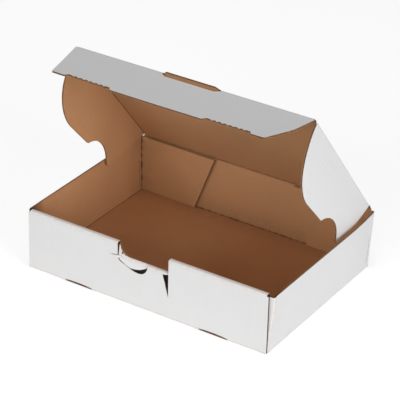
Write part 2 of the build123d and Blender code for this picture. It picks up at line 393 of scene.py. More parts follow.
def arc_through(start, middle, end, steps=10):
    """Points on the circle through three points, from start to end."""
    (ax, ay), (bx, by), (cx, cy) = start, middle, end
    d = 2 * (ax * (by - cy) + bx * (cy - ay) + cx * (ay - by))
    a2, b2, c2 = ax * ax + ay * ay, bx * bx + by * by, cx * cx + cy * cy
    x = (a2 * (by - cy) + b2 * (cy - ay) + c2 * (ay - by)) / d
    y = (a2 * (cx - bx) + b2 * (ax - cx) + c2 * (bx - ax)) / d
    radius = math.hypot(ax - x, ay - y)
    first, mid, last = (math.atan2(q - y, p - x) for p, q in (start, middle, end))
    full = 2 * math.pi
    sweep = (last - first) % full
    if (mid - first) % full > sweep:
        sweep -= full
    angles = [first + sweep * i / steps for i in range(steps + 1)]
    return [(x + radius * math.cos(a), y + radius * math.sin(a)) for a in angles]


def smooth(low, high, value):
    """0 below low, 1 above high and an even curve between them."""
    share = min(max((value - low) / (high - low), 0.0), 1.0)
    return share * share * (3 - 2 * share)


# ---------------------------------------------------------------- tray

GAP = 0.15                      # air between layers folded together
BEND = BOARD / 2 + 0.05         # middle-line radius of a sharp crease
EDGE = BOARD / 2 + BEND         # from an outside face to the start of a run
SIDE = TRAY_HIGH.x
FRONT = TRAY_LOW.y
BACK = TRAY_HIGH.y
TOP = HINGE.z - BOARD / 2 - 0.8     # rims of the front and side walls
BACK_TOP = HINGE.z - 1.0
INNER = FRONT + 2.5 * BOARD + 2 * GAP       # middle of the inner front panel
FRONT_BOW = 0.35                # outward bow of the front wall
NOTCH = (-24.5, 21.8)           # ends of the lifting notch
NOTCH_Z = TOP - 11.8            # its lowered rim
NOTCH_SWEEP = 9.0               # radius at its left end, on the inner panel
NICK = 6.0                      # torn nick at its left end
JOIN_Z = 17.0                   # foot of the notch's own strip of board
INNER_JOIN_Z = 30.0
SLIT = (5.2, 21.0)              # tapered slit at its right end: width and length
LOCK_X = 62.0                   # middle of a locking tab
LOCK_HALF = 16.5
LOCK_CRESCENT = (               # front edge of a locking slot: share of its half length, reach up the wall
    (-0.8, -0.1), (-0.45, 0.55), (0.1, 0.75), (0.5, 0.5), (0.8, -0.1))
FRONT_TAB = 62.0                # length of a front corner tab
BACK_TAB = 74.0                 # length of a back corner tab
REAR_SLIT = (7.0, 5.5, 15.0, 30.5)      # in from the back, then its bottom, middle and top
REAR_SLIT_BOW = 1.1

# Thumb cut in the outer panel as (x, z): its rim from left to right, then the pushed-in ribbon's lip back
THUMB_RIM = [
    (-24.2, 38.9), (-23.5, 37.0), (-22.0, 35.7), (-17.0, 33.9), (-12.4, 31.9), (-10.2, 31.1), (-7.8, 30.6),
    (-5.0, 30.4), (-2.3, 30.9), (-0.4, 32.0), (1.1, 33.5), (2.3, 35.6), (2.8, 37.9),
]
THUMB_LIP = [
    (0.0, 36.0), (-3.4, 34.4), (-8.0, 33.3), (-12.4, 33.0), (-17.0, 34.5), (-22.0, 36.3), (-23.2, 37.4),
    (-23.9, 38.9),
]
THUMB_OUT = 0.4                 # how far the ribbon's lip stands out
TAIL_HALF = 0.15                # half the thickness of its torn tail
THUMB_PUSH = 2.0                # how far its upper edge is pushed in


def front_path(base_z, top_z, radius, foot_z):
    """Up the outer front panel, over the roll and down the inner panel."""
    width = INNER - FRONT - BOARD / 2
    return [
        ("run", top_z - BOARD / 2 - radius - base_z),
        ("turn", -90, radius),
        ("run", width - 2 * radius),
        ("turn", -90, radius),
        ("run", top_z - BOARD / 2 - radius - foot_z),
    ]


def centre_strip(build):
    """Back wall, bottom, outer front panel, roll and inner front panel."""
    path = Path((BACK - BOARD / 2, BACK_TOP), -90, 1, [
        ("run", BACK_TOP - EDGE),
        ("turn", -90, BEND),
        ("run", BACK - FRONT - 2 * EDGE),
        ("turn", -90, BEND),
    ] + front_path(EDGE, TOP, BEND, EDGE + 0.05) + [("turn", -90, BEND), ("run", INNER - FRONT - BEND - 0.5)])
    back_bend, bottom, front_bend, front, roll, inner, foot = (path.marks[i] for i in (1, 2, 3, 4, 5, 8, 9))
    end, lock = foot - 0.1, path.marks[-1]
    half, inside = SIDE, SIDE - BOARD - 0.2
    bottom_half = SIDE - EDGE
    crease = (front_bend + front) / 2

    def outer_at(z):
        return front + z - EDGE

    def inner_at(z):
        return inner + (TOP - EDGE) - z

    outline = [
        (-inside, 0), (inside, 0), (inside, (back_bend + bottom) / 2), (bottom_half, bottom),
        (bottom_half, front_bend), (half, crease), (half, roll), (inside, roll + 0.2), (inside, end),
    ]
    for x in (LOCK_X, -LOCK_X):
        outline += [(x + LOCK_HALF - 0.6, end), (x + LOCK_HALF - 1.6, lock - 1.5), (x + LOCK_HALF - 5, lock),
                    (x - LOCK_HALF + 5, lock), (x - LOCK_HALF + 1.6, lock - 1.5), (x - LOCK_HALF + 0.6, end)]
    outline += [
        (-inside, end), (-inside, roll + 0.2), (-half, roll), (-half, crease),
        (-bottom_half, front_bend), (-bottom_half, bottom), (-inside, (back_bend + bottom) / 2),
    ]
    left, right = NOTCH
    sweep = arc_through(
        (left, inner_at(NOTCH_Z + NOTCH_SWEEP)),
        (left + NOTCH_SWEEP * 0.293, inner_at(NOTCH_Z + NOTCH_SWEEP * 0.293)),
        (left + NOTCH_SWEEP, inner_at(NOTCH_Z)), 8)
    notch = [
        (left, outer_at(JOIN_Z)), (left, outer_at(NOTCH_Z)), (left - NICK, outer_at(NOTCH_Z) + 0.4),
        (left, outer_at(NOTCH_Z) + 0.9), *sweep, (left + NOTCH_SWEEP, inner_at(INNER_JOIN_Z)),
        (right, inner_at(INNER_JOIN_Z)), (right, outer_at(NOTCH_Z + 8)), (right, outer_at(JOIN_Z)),
    ]
    slots = []
    rear = bottom + (BACK - EDGE) - (INNER + BOARD / 2 + 0.4)
    ends = [(-1.0, crease)] + [(share, front + up) for share, up in LOCK_CRESCENT] + [(1.0, crease)]
    for x in (LOCK_X, -LOCK_X):
        front_edge = [(x + share * LOCK_HALF, along) for share, along in ends]
        slots.append(front_edge + [(x + LOCK_HALF, rear), (x - LOCK_HALF, rear)])

    def place(x, point, along):
        return (x, point.x - front_bow(x, point), point.y)

    # Painted shade: from the outer front panel on, the kraft faces the closed front wall's cavity and is
    # painted near black
    add_board(build, [outline, notch] + slots, path, place, painted_shade_at=lambda x, along: float(along > front))


def front_bow(x, point):
    """Outward bow of the front wall at a point of its section."""
    near = 1 - smooth(INNER - 0.5, INNER + 2.0, point.x)
    return FRONT_BOW * math.cos(0.5 * math.pi * x / SIDE) * smooth(2.0, 30.0, point.y) * near


def notch_strip(build):
    """Lowered roll of the notch, with the pushed-in thumb ribbon and the tapered slit."""
    radius = 1.0
    path = Path((FRONT + BOARD / 2, JOIN_Z), 90, 1, front_path(JOIN_Z, NOTCH_Z, radius, INNER_JOIN_Z))
    left, right = NOTCH
    roll, second = path.marks[1], path.marks[3]
    end = path.marks[-1]
    narrow = left + NOTCH_SWEEP
    width, length = SLIT
    tip = NOTCH_Z - length - JOIN_Z
    outline = [
        (left, 0), (right, 0), (right, tip), (right - width, roll - 0.4), (right, roll + 0.5), (right, end),
        (narrow, end), (narrow, second + 0.2), (left, second + 0.2),
    ]
    thumb = [(x, z - JOIN_Z) for x, z in THUMB_RIM + THUMB_LIP]

    def place(x, point, along):
        y, z = point
        inside = 1 - smooth(INNER - 2.6, INNER - 0.4, y)
        ribbon = smooth(left - 1, left + 4, x) * (1 - smooth(1.0, 4.0, x)) * inside * smooth(30.0, 34.0, z)
        above = z > thumb_rim_height(x) + 0.15
        push = ribbon * (THUMB_PUSH * smooth(33.0, NOTCH_Z, z) - THUMB_OUT) if above else 0.0
        centre = left + NOTCH_SWEEP
        rise = NOTCH_SWEEP - math.sqrt(max(NOTCH_SWEEP ** 2 - min(x - centre, 0.0) ** 2, 0.0))
        lift = rise * smooth(FRONT + 1.0, INNER - 1.0, y) * smooth(NOTCH_Z - 3.0, NOTCH_Z - 0.8, z)
        return (x, y - front_bow(x, point) + push, z + lift)

    # Painted shade: all the kraft of the notch strip is painted near black, for the dark hole behind the
    # thumb cut
    add_board(build, [outline, thumb], path, place, across_spacing=1.6, painted_shade_at=lambda x, along: 1.0)
    thumb_tail(build)


def thumb_rim_height(x):
    """Height of the thumb cut's rim."""
    for (x0, z0), (x1, z1) in zip(THUMB_RIM, THUMB_RIM[1:]):
        if x0 <= x <= x1:
            return z0 + (z1 - z0) * (x - x0) / (x1 - x0)
    return NOTCH_Z


def thumb_tail(build):
    """Torn tail of the ribbon, out through the nick over the front wall."""
    path = Path((FRONT - 0.45, 37.0), 90, 1, [("run", 5.0)])
    tail = [(-30.8, 2.5), (-29.4, 1.6), (-26.0, 1.9), (-23.4, 1.6), (-21.5, 2.2), (-21.5, 3.2), (-24.0, 3.5)]

    def place(x, point, along):
        return (x, point.x - front_bow(x, point) + 1.2 * smooth(-25.0, -21.5, x), point.y)

    def put(x, along, height):
        point, normal = path.at(along)
        return place(x, point + normal * height, along)

    sheet = flat_faces([tail], [], [-28.0, -26.0, -24.5, -23.0])
    add_slab(build, sheet, put, path, TAIL_HALF, -TAIL_HALF, WHITE, WHITE)
    sheet.free()


def side_strip(build, side):
    """Side wall with its front and back corner tabs."""
    shape = bpy.context.scene.mailer_shape
    layer = 1.5 * BOARD + GAP
    path = Path((SIDE - FRONT_TAB, FRONT + layer), 0, -1, [
        ("run", FRONT_TAB - EDGE),
        ("turn", 90, BEND),
        ("run", BACK - FRONT - 2 * (layer + BEND)),
        ("turn", 90 + shape.tab_lean, BEND),
        ("run", BACK_TAB - EDGE),
    ])
    front_bend, wall, back_bend, tab = (path.marks[i] for i in (1, 2, 3, 4))
    end = path.marks[-1]
    foot, low_foot = EDGE, BOARD + 0.4
    tab_top, inner_top = HINGE.z - 1.4, TOP - BOARD - GAP
    outline = [
        (low_foot, 0), (low_foot, front_bend), (foot, wall), (foot, back_bend), (low_foot, tab),
        (low_foot, end - 19.0), (tab_top - 0.5, end - 0.2), (tab_top, end - 0.5), (tab_top, tab + 0.8),
        (TOP, back_bend - 0.6), (TOP, wall + 0.3), (inner_top, front_bend), (inner_top, 0),
    ]
    setback, slit_low, slit_middle, slit_high = REAR_SLIT
    slit_at = wall + (BACK - setback) - (FRONT + layer + BEND)
    bowed = slit_at + REAR_SLIT_BOW
    near = arc_through((slit_low, slit_at - 0.2), (slit_middle, bowed - 0.2), (slit_high, slit_at - 0.1), 8)
    far = arc_through((slit_high, slit_at + 0.1), (slit_middle, bowed + 0.2), (slit_low, slit_at + 0.2), 8)
    lean = shape.right_lean if side > 0 else shape.left_lean
    pull = shape.rear_pull if side > 0 else 0.0

    def place(z, point, along):
        x, y = point
        high = max(z / TOP, 0)
        out = lean * high * (1 - 0.4 * smooth(BACK - 30, BACK, y))
        forward = pull * high * smooth(30.0, BACK - 2, y) * (1 - smooth(tab, end - 20.0, along))
        return (side * (x + out), y - forward, z)

    # Painted shade: the kraft of the front corner tab, inside the closed front wall, is painted near black,
    # fading out over 7 mm into the side wall
    add_board(build, [outline, near + far], path, place,
              painted_shade_at=lambda z, along: 1 - smooth(wall, wall + 7, along))


def bottom_crease(build, side):
    """Rounded crease between the bottom and one side wall."""
    run = 0.3
    path = Path((SIDE - EDGE - run, BOARD / 2), 0, -1, [("run", run), ("turn", 90, BEND), ("run", run)])
    first, last = FRONT + 1.3 * BOARD + GAP, BACK - BOARD - GAP
    end = path.marks[-1]
    outline = [(first, 0), (last, 0), (last, end), (first, end)]

    def place(y, point, along):
        return (side * point.x, y, point.y)

    # Strong fold marks here: painted shade in the kraft inside corner, and cracks on the white outside
    build.wear_and_shade = 1.8
    add_board(build, [outline], path, place, flutes=False)
    build.wear_and_shade = 1.0


# ---------------------------------------------------------------- lid, flap and ears

TONGUE = (25.3, 3.6, 4.2)           # half length, slanted end and reach
TONGUE_GAP = 0.5
FLAP_LENGTH = 50.0
FLAP_TAPER = 13.6
FLAP_SAG = 0.9                      # how far the flap's free corners stand off its plane
FLAP_CROWN = 0.25
RECESS = (40.0, 82.0, 3.4, 2.5)     # inner end, outer end, depth and slope
RECESS_TEETH = 8
EAR_REAR = 3.0                      # rear end of the ear, along the lid
EAR_FRONT = LID_REACH - 4.0
EAR_DEEP = HINGE.z - BOARD - 3.8    # the ear's lowest line, below the lid
EAR_TOE = (27.5, 2.6)               # along the lid, and up from the lowest line
EAR_TOE_END = (32.3, 2.2)
EAR_SCOOP = (54.5, 11.0)
EAR_TIP = (71.7, 1.9)
EAR_BELLY_SETBACK = 42.2            # behind the ear's front end
EAR_NOSE = (13.2, 10.3)             # behind the front end, and up from the lowest line
EAR_BOW_SPAN = 54.0                 # depth over which an ear bows out and back
EAR_BOW_LEAN = 0.006                # outward lean under the bow, as a slope
EAR_CUTS = 5.0                      # spacing of the cuts that follow the bow
CREASE_RUN = 1.4                    # from a working crease's corner to the edge of its strip


def heading_of(direction):
    """Angle of a direction in the Y-Z plane, degrees."""
    return math.degrees(math.atan2(direction.z, direction.y))


def flap_direction():
    """From the lid's front crease towards the tuck flap's free edge."""
    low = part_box("tuck_flap")[0] / MM
    corners = [v.co / MM for v in frame["nodes"]["tuck_flap"].data.vertices]
    far = [c for c in corners if c.y < low.y + 1.6]
    middle = sum(far, Vector()) / len(far)
    return Vector((0, middle.y - FRONT_CREASE.y, middle.z - FRONT_CREASE.z)).normalized()


def lid_point(x, along, up):
    """Point on the lid at rest, a distance from the hinge and above the middle plane."""
    return Vector((x, 0, 0)) + Vector((0, HINGE.y, HINGE.z)) + LID_ALONG * along - LID_DOWN * up


def lid_bow(x, along):
    """Slight crown of the lid panel."""
    bow = bpy.context.scene.mailer_shape.lid_bow
    across = math.cos(0.5 * math.pi * min(abs(x) / LID_HALF, 1.0))
    return bow * across * math.sin(math.pi * min(max(along / LID_REACH, 0.0), 1.0))


def build_lid():
    """Lid panel with its stop tongue."""
    build = Builder()
    path = Path((0, 0), 0, 1, [("run", LID_REACH + TONGUE[2])])
    half = LID_HALF - EDGE
    half_length, slant, reach = TONGUE
    front = LID_REACH - 1.0
    rear = 1.0
    outline = [
        (-half, rear), (half, rear), (half, front), (half_length, front), (half_length, LID_REACH),
        (half_length - slant, LID_REACH + reach), (slant - half_length, LID_REACH + reach),
        (-half_length, LID_REACH), (-half_length, front), (-half, front),
    ]

    def place(x, point, along):
        return lid_point(x, point.x, point.y + lid_bow(x, along))

    add_board(build, [outline], path, place)
    return build


def build_flap():
    """Tuck flap, cut out round the stop tongue."""
    build = Builder()
    path = Path((FRONT_CREASE.y, FRONT_CREASE.z), heading_of(flap_direction()), -1, [("run", FLAP_LENGTH)])
    inner, outer, depth, slope = RECESS
    corner = LID_HALF - FLAP_TAPER
    root = LID_HALF - 0.4
    half_length, slant, reach = TONGUE
    end = FLAP_LENGTH
    rise = 1.0
    half = [(0, end), (inner, end), (inner + slope, end - depth)]
    for i in range(1, RECESS_TEETH):
        x = inner + slope + (outer - inner - 2 * slope) * i / RECESS_TEETH
        half += [(x - 1.0, end - depth), (x - 0.6, end - depth + 1.2), (x + 0.7, end - depth + 0.9),
                 (x + 1.1, end - depth)]
    half += [(outer - slope, end - depth), (outer, end - 0.3), (corner - 0.3, end - 0.3), (corner, end - 0.6)]
    foot = [
        (root, rise), (half_length + TONGUE_GAP, rise), (half_length + TONGUE_GAP, 1.6),
        (half_length + 0.3 - slant, reach + TONGUE_GAP),
    ]
    mirrored = [(-x, s) for x, s in reversed(half[1:] + foot)]
    half += [(root - 3.6, 0.5 * end)] + foot

    def place(x, point, along):
        sag = FLAP_SAG * (abs(x) / LID_HALF) ** 2 * (along / end)
        crown = FLAP_CROWN * math.sin(math.pi * along / end)
        return (x, point.x, point.y + sag - crown)

    add_board(build, [half + mirrored], path, place)
    return build


def ear_loop():
    """Ear outline as (down from the lid, along the lid)."""
    top = EDGE - BOARD / 2
    low_points = EAR_TOE, EAR_TOE_END, EAR_SCOOP, EAR_TIP
    toe, toe_end, middle, tip = ((EAR_DEEP - up, along) for along, up in low_points)
    belly = (EAR_DEEP, EAR_FRONT - EAR_BELLY_SETBACK)
    nose = (EAR_DEEP - EAR_NOSE[1], EAR_FRONT - EAR_NOSE[0])
    scoop = arc_through(toe_end, middle, tip, 14)
    curve = arc_through(belly, nose, (top, EAR_FRONT), 18)
    return [(top, EAR_REAR), (toe[0] - 1.4, toe[1] - 0.7), (toe[0], toe[1] + 0.8)] + scoop + curve


def build_ear(side):
    """Ear that hangs under one side edge of the lid."""
    build = Builder()
    path = Path((0, 0), 0, 1, [("run", LID_REACH)])
    shape = bpy.context.scene.mailer_shape
    bow = shape.right_ear_bow if side > 0 else shape.left_ear_bow
    middle = LID_HALF - BOARD / 2

    def place(down, point, along):
        below = down - BOARD / 2
        out = bow * math.sin(math.pi * below / EAR_BOW_SPAN) + EAR_BOW_LEAN * below
        return lid_point(side * (middle + point.y + out), point.x, -down)

    add_board(build, [ear_loop()], path, place, across_spacing=EAR_CUTS)
    return build


def straight(x, point, along):
    """Place of a sheet that runs straight across the box."""
    return (x, point.x, point.y)


def lid_hinge_crease():
    """Creased board between the back wall and the lid."""
    build = Builder()
    heading = heading_of(LID_ALONG)
    turn = heading - 90
    radius = 1.0
    lead = radius * math.tan(math.radians(abs(turn) / 2))
    path = Path((BACK - BOARD / 2, HINGE.z - CREASE_RUN), 90, -1, [
        ("run", CREASE_RUN - lead), ("turn", turn, radius), ("run", CREASE_RUN - lead)])
    end = path.marks[-1]
    outline = [(-LID_HALF, 0), (LID_HALF, 0), (LID_HALF, end), (-LID_HALF, end)]
    # Faint fold marks: a painted shade line along the kraft of the hinge crease, and faint cracks on the
    # white
    build.wear_and_shade = 0.5
    add_board(build, [outline], path, straight, flutes=False)
    return build


def flap_crease():
    """Creased board between the lid and the tuck flap, on both sides of the tongue."""
    build = Builder()
    first, second = heading_of(LID_ALONG), heading_of(flap_direction())
    turn = (second - first + 180) % 360 - 180
    radius = 1.1
    lead = radius * math.tan(math.radians(abs(turn) / 2))
    start = FRONT_CREASE - LID_ALONG * CREASE_RUN
    path = Path((start.y, start.z), first, -1, [
        ("run", CREASE_RUN - lead), ("turn", turn, radius), ("run", CREASE_RUN - lead)])
    end = path.marks[-1]
    for side in (-1, 1):
        near, far = side * (TONGUE[0] + TONGUE_GAP), side * (LID_HALF - BOARD)
        outline = [(near, 0), (far, 0), (far, end), (near, end)]
        add_board(build, [outline], path, straight, flutes=False)
    return build


def ear_crease(side):
    """Creased board between the lid and one ear."""
    build = Builder()
    run = 0.4
    path = Path((LID_HALF - EDGE - run, 0), 0, 1, [("run", run), ("turn", -90, BEND), ("run", run)])
    end = path.marks[-1]
    rear, front = EAR_REAR, LID_REACH - 1.2
    outline = [(rear, 0), (front, 0), (front, end), (rear, end)]

    def place(along_lid, point, along):
        return lid_point(side * point.x, along_lid, point.y)

    add_board(build, [outline], path, place, flutes=False)
    return build


# ---------------------------------------------------------------- finishes

# Painted shade: near-black colour laid on kraft and fluting inside a closed wall, in place of its shadow
PAINTED_SHADE_TINT = (0.05, 0.03, 0.02, 1)     # board deep inside a closed wall


def new_group(name, inputs, outputs):
    """Empty shader group with named inputs and outputs."""
    group = bpy.data.node_groups.new(name, "ShaderNodeTree")
    for label, kind, value in inputs:
        socket = group.interface.new_socket(name=label, in_out="INPUT", socket_type=kind)
        if value is not None:
            socket.default_value = value
    for label, kind in outputs:
        group.interface.new_socket(name=label, in_out="OUTPUT", socket_type=kind)
    return group, group.nodes.new("NodeGroupInput"), group.nodes.new("NodeGroupOutput")


def node(tree, kind, inputs=None, **settings):
    """New node with its settings and the values of its unlinked inputs."""
    made = tree.nodes.new(kind)
    for key, value in settings.items():
        setattr(made, key, value)
    for key, value in (inputs or {}).items():
        made.inputs[key].default_value = value
    return made


def math_node(tree, operation, first, second=None):
    """Math node fed by sockets or numbers."""
    made = node(tree, "ShaderNodeMath", operation=operation)
    for i, value in enumerate((first, second)):
        if isinstance(value, bpy.types.NodeSocket):
            tree.links.new(value, made.inputs[i])
        elif value is not None:
            made.inputs[i].default_value = value
    return made.outputs[0]


def paper_fibre_group():
    """Fibres, specks and slow cloudiness of pressed paper."""
    group, source, sink = new_group("Paper fibre", [
        ("Vector", "NodeSocketVector", None), ("Fibre scale", "NodeSocketFloat", 900.0),
        ("Speck scale", "NodeSocketFloat", 1500.0), ("Cloud scale", "NodeSocketFloat", 28.0),
    ], [("Fibre", "NodeSocketFloat"), ("Speck", "NodeSocketFloat"), ("Cloud", "NodeSocketFloat")])
    link = group.links.new
    stretch = node(group, "ShaderNodeMapping", {"Scale": (1.0, 0.28, 0.5)})
    link(source.outputs["Vector"], stretch.inputs["Vector"])
    fibre = node(group, "ShaderNodeTexNoise", {"Detail": 6.0, "Roughness": 0.65, "Distortion": 0.6})
    link(stretch.outputs[0], fibre.inputs["Vector"])
    link(source.outputs["Fibre scale"], fibre.inputs["Scale"])
    speck = node(group, "ShaderNodeTexVoronoi")
    link(source.outputs["Vector"], speck.inputs["Vector"])
    link(source.outputs["Speck scale"], speck.inputs["Scale"])
    dot = node(
        group, "ShaderNodeMapRange", {"From Min": 0.05, "From Max": 0.22, "To Min": 1.0, "To Max": 0.0})
    link(speck.outputs["Distance"], dot.inputs["Value"])
    cloud = node(group, "ShaderNodeTexNoise", {"Detail": 3.0})
    link(source.outputs["Vector"], cloud.inputs["Vector"])
    link(source.outputs["Cloud scale"], cloud.inputs["Scale"])
    link(fibre.outputs[0], sink.inputs["Fibre"])
    link(dot.outputs[0], sink.inputs["Speck"])
    link(cloud.outputs[0], sink.inputs["Cloud"])
    return group


def washboard_group():
    """Faint ridges where the flutes, which cross the drawing's first axis, show through a liner."""
    group, source, sink = new_group("Washboard", [
        ("Map", "NodeSocketVector", None), ("Pitch", "NodeSocketFloat", 0.0033),
    ], [("Ridge", "NodeSocketFloat")])
    link = group.links.new
    split = node(group, "ShaderNodeSeparateXYZ")
    link(source.outputs["Map"], split.inputs[0])
    turns = math_node(group, "DIVIDE", split.outputs[0], source.outputs["Pitch"])
    angle = math_node(group, "MULTIPLY", turns, 2 * math.pi)
    wave = math_node(group, "SINE", angle)
    share = math_node(group, "MULTIPLY_ADD", wave, 0.5)
    share.node.inputs[2].default_value = 0.5
    link(share, sink.inputs["Ridge"])
    return group


def crease_wear_and_shade_group():
    """Broken-up mask along a fold: cracked liner on the white, painted shade on the kraft."""
    group, source, sink = new_group("Crease wear", [
        ("Vector", "NodeSocketVector", None), ("Fold", "NodeSocketFloat", 0.0),
        ("Amount", "NodeSocketFloat", 0.6),
    ], [("Mask", "NodeSocketFloat")])
    link = group.links.new
    patch = node(group, "ShaderNodeTexNoise", {"Scale": 260.0, "Detail": 4.0})
    link(source.outputs["Vector"], patch.inputs["Vector"])
    spread = node(
        group, "ShaderNodeMapRange", {"From Min": 0.35, "From Max": 0.62, "To Min": 0.35, "To Max": 1.0})
    link(patch.outputs[0], spread.inputs["Value"])
    masked = math_node(group, "MULTIPLY", spread.outputs[0], source.outputs["Fold"])
    link(math_node(group, "MULTIPLY", masked, source.outputs["Amount"]), sink.inputs["Mask"])
    return group


def use_group(tree, group, **values):
    """Place a shared group in a material, with its own values."""
    made = tree.nodes.new("ShaderNodeGroup")
    made.node_tree = group
    for name, value in values.items():
        made.inputs[name.replace("_", " ")].default_value = value
    return made


def mix_colour(tree, factor, first, second, blend="MIX"):
    """Mix node for colours, fed by sockets or values."""
    made = node(tree, "ShaderNodeMix", data_type="RGBA", blend_type=blend)
    for slot, value in ((0, factor), (6, first), (7, second)):
        if isinstance(value, bpy.types.NodeSocket):
            tree.links.new(value, made.inputs[slot])
        else:
            made.inputs[slot].default_value = value
    return made.outputs[2]


def paper_material(name, colour, dark, light, crease_tint, roughness, wear_and_shade, ridges, specks, grain, groups):
    """Paper liner: clouded colour, fibres, specks, flute ridges, crease marks (cracked white liner, painted
    shade on the kraft) and painted shade inside closed walls.
    """
    material = bpy.data.materials.new(name)
    material.use_nodes = True
    tree = material.node_tree
    link = tree.links.new
    shader = tree.nodes["Principled BSDF"]
    shader.inputs["Specular IOR Level"].default_value = 0.25
    fibre_group, ridge_group, wear_and_shade_group = groups
    coords = node(tree, "ShaderNodeTexCoord")
    fibre = use_group(tree, fibre_group)
    link(coords.outputs["Object"], fibre.inputs["Vector"])
    flat = node(tree, "ShaderNodeUVMap", uv_map="blank")
    ridge = use_group(tree, ridge_group)
    link(flat.outputs[0], ridge.inputs["Map"])
    fold = node(tree, "ShaderNodeAttribute", attribute_name="fold")
    worn_and_shaded = use_group(tree, wear_and_shade_group, Amount=wear_and_shade)
    link(coords.outputs["Object"], worn_and_shaded.inputs["Vector"])
    link(fold.outputs["Fac"], worn_and_shaded.inputs["Fold"])
    base = mix_colour(tree, fibre.outputs["Cloud"], (*dark, 1), (*light, 1))
    fibres = mix_colour(tree, fibre.outputs["Fibre"], (*[1 - grain] * 3, 1), (*[1 + grain] * 3, 1))
    base = mix_colour(tree, 1.0, base, fibres, "MULTIPLY")
    speck = math_node(tree, "MULTIPLY", fibre.outputs["Speck"], specks)
    base = mix_colour(tree, speck, base, (*(c * 0.55 for c in colour), 1))
    shade = math_node(tree, "MULTIPLY", ridge.outputs["Ridge"], ridges)
    base = mix_colour(tree, shade, base, (*(c * 0.72 for c in colour), 1))
    # Crease colour: on the white liner the tint of cracked liner, on the kraft a painted shade along the
    # folds
    base = mix_colour(tree, worn_and_shaded.outputs["Mask"], base, (*crease_tint, 1))
    # Painted shade: darken towards near black where the depth attribute marks board inside a closed wall
    depth = node(tree, "ShaderNodeAttribute", attribute_name="depth")
    base = mix_colour(tree, depth.outputs["Fac"], base, PAINTED_SHADE_TINT)
    link(base, shader.inputs["Base Color"])
    rough = math_node(tree, "MULTIPLY_ADD", fibre.outputs["Fibre"], 0.16)
    rough.node.inputs[2].default_value = roughness - 0.08
    link(rough, shader.inputs["Roughness"])
    ridge_bump = node(tree, "ShaderNodeBump", {"Strength": 0.25, "Distance": 0.00012})
    link(ridge.outputs["Ridge"], ridge_bump.inputs["Height"])
    fibre_bump = node(tree, "ShaderNodeBump", {"Strength": 0.35, "Distance": 0.00006})
    link(fibre.outputs["Fibre"], fibre_bump.inputs["Height"])
    link(ridge_bump.outputs[0], fibre_bump.inputs["Normal"])
    link(fibre_bump.outputs[0], shader.inputs["Normal"])
    return material


def board_materials():
    """White liner, kraft liner and fluting, made once."""
    names = ("white_liner", "kraft_liner", "fluting")
    if all(name in bpy.data.materials for name in names):
        return [bpy.data.materials[name] for name in names]
    board = bpy.context.scene.mailer_board
    groups = paper_fibre_group(), washboard_group(), crease_wear_and_shade_group()

    def tone(colour, share):
        return tuple(c * share for c in colour)

    white, kraft, medium, crease_tint = (tuple(c) for c in (board.white, board.kraft, board.medium, board.crease_tint))
    finishes = (    # colour, darkest and lightest share, crease, roughness, wear, ridges, specks and grain
        (white, 0.985, 1.01, crease_tint, 0.62, 0.35, 0.03, 0.01, 0.02),
        # Kraft: its crease colour, 0.28 of the kraft, is painted shade along the folds
        (kraft, 0.92, 1.08, tone(kraft, 0.28), 0.8, 1.3, 0.06, 0.3, 0.08),
        (medium, 0.85, 1.15, tone(medium, 0.8), 0.85, 0.0, 0.0, 0.4, 0.1),
    )
    return [
        paper_material(name, colour, tone(colour, dark), tone(colour, light), *rest, groups)
        for name, (colour, dark, light, *rest) in zip(names, finishes)
    ]


# ---------------------------------------------------------------- operators

def seat(piece, body):
    """Let a piece ride on its body, in place of the body's plain solid."""
    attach(piece, body)
    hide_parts(body)


class MAILER_OT_tray(bpy.types.Operator):
    """Build the tray from its bent strips of board"""
    bl_idname = "mailer.tray"
    bl_label = "Tray"

    def execute(self, context):
        build = Builder()
        centre_strip(build)
        notch_strip(build)
        for side in (-1, 1):
            side_strip(build, side)
            bottom_crease(build, side)
        tray = build.finish("folded_tray", board_materials())
        seat(tray, "tray")
        return {"FINISHED"}


class MAILER_OT_lid(bpy.types.Operator):
    """Build the lid panel"""
    bl_idname = "mailer.lid"
    bl_label = "Lid"

    def execute(self, context):
        panel = build_lid().finish("lid_panel", board_materials())
        seat(panel, "lid")
        return {"FINISHED"}


class MAILER_OT_tuck_flap(bpy.types.Operator):
    """Build the tuck flap"""
    bl_idname = "mailer.tuck_flap"
    bl_label = "Tuck flap"

    def execute(self, context):
        flap = build_flap().finish("tuck_flap_panel", board_materials())
        seat(flap, "tuck_flap")
        return {"FINISHED"}


class MAILER_OT_ears(bpy.types.Operator):
    """Build both ears"""
    bl_idname = "mailer.ears"
    bl_label = "Ears"

    def execute(self, context):
        for side, body in ((-1, "left_ear"), (1, "right_ear")):
            ear = build_ear(side).finish(body + "_panel", board_materials())
            seat(ear, body)
        return {"FINISHED"}


class MAILER_OT_creases(bpy.types.Operator):
    """Build the creased board that bends at each working fold"""
    bl_idname = "mailer.creases"
    bl_label = "Creases"

    def execute(self, context):
        materials = board_materials()
        hinge = lid_hinge_crease().finish("lid_hinge_crease", materials)
        blend_crease(hinge)
        fold = flap_crease().finish("tuck_flap_crease", materials)
        blend_crease(fold)
        for side, body in ((-1, "left_ear"), (1, "right_ear")):
            strip = ear_crease(side).finish(body + "_crease", materials)
            blend_crease(strip)
        return {"FINISHED"}


def blend_crease(piece):
    """Bake a crease strip's transform into its mesh."""
    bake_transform(piece)


class MAILER_OT_stage(bpy.types.Operator):
    """Build the floor, lamps, world and camera"""
    bl_idname = "mailer.stage"
    bl_label = "Stage"

    def execute(self, context):
        stage = context.scene.mailer_stage
        build_floor(stage)
        build_world(stage)
        build_lamps()
        build_camera(stage)
        context.scene.view_settings.view_transform = "Standard"
        return {"FINISHED"}


